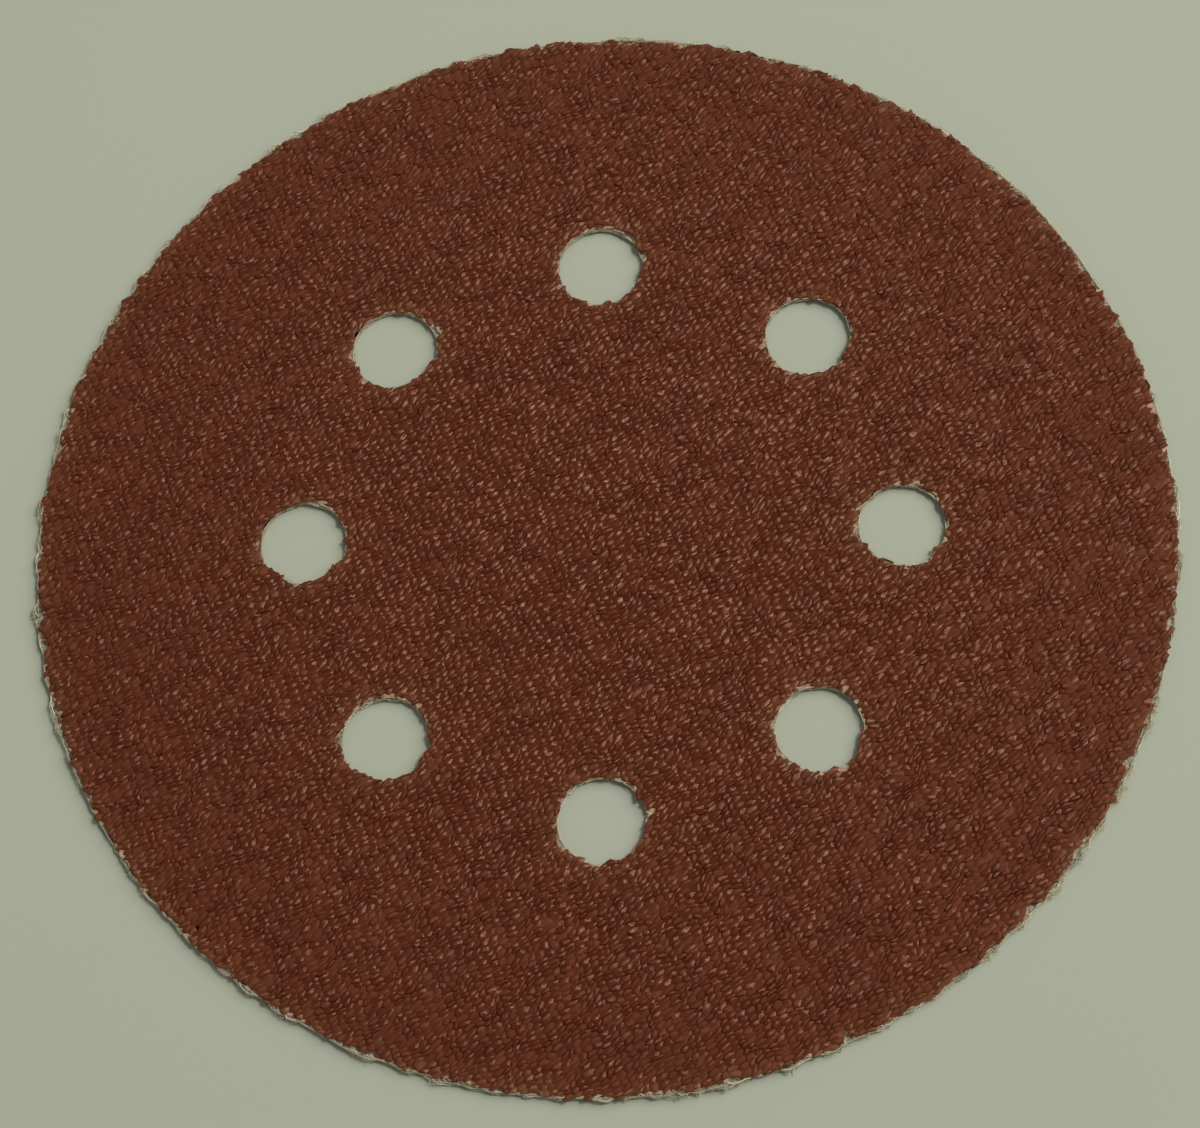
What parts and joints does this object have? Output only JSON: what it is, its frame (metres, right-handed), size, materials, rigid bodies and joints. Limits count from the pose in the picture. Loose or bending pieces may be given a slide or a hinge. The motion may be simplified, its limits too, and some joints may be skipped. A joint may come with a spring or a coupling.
{
  "type": "hook and loop sanding disc",
  "caption": "Round sanding disc: a red-brown grit coat on paper, with a loop fabric backing and a ring of round dust holes.",
  "frame": {"origin": "centre of the disc, on the face of the loops that grips the pad or rests on the bench", "axes": "+Z through the thickness, out of the abrasive face; one dust hole is centred on +Y"},
  "size_m": [0.125, 0.125, 0.0014],
  "materials": {
    "loop_fabric": "brushed loops, matte",
    "paper_backing": "matte",
    "abrasive_coat": "coarse resin-bonded grain"
  },
  "bodies": {
    "root": {"loop_fabric": "loop_fabric", "paper_backing": "paper_backing", "abrasive_coat": "abrasive_coat"}
  },
  "joints": []
}
